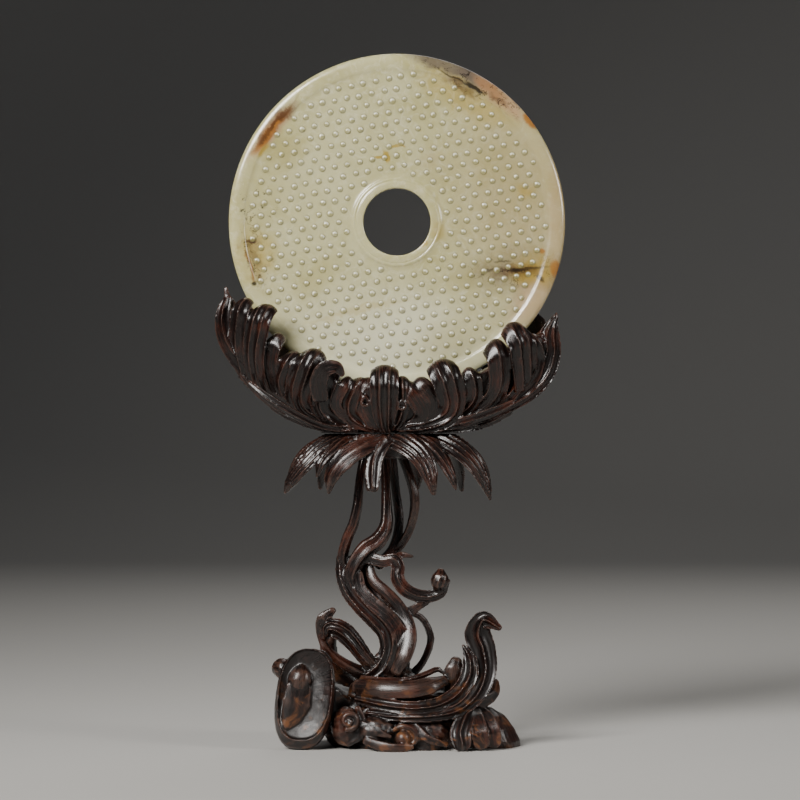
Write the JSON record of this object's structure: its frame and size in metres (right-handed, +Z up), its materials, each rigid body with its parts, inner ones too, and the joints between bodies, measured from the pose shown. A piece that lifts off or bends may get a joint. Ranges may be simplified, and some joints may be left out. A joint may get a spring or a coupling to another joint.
{
  "type": "jade bi disc on a carved hardwood stand",
  "caption": "Grain-bossed jade ring disc standing upright in a boat-shaped cradle of carved hardwood leaves, on a stem and root pedestal.",
  "frame": {"origin": "on the underside of the base, below the centre of the disc", "axes": "+Z up, the disc's face towards -Y, +X to the right of someone facing it"},
  "size_m": [0.1715, 0.0755, 0.339],
  "materials": {
    "jade": "polished pale celadon nephrite with russet, ochre and grey-black stains",
    "rosewood": "very dark carved and waxed hardwood, red-brown where worn"
  },
  "bodies": {
    "root": {"bi_disc": "jade", "leaf_cradle": "rosewood", "pedestal": "rosewood"}
  },
  "joints": []
}
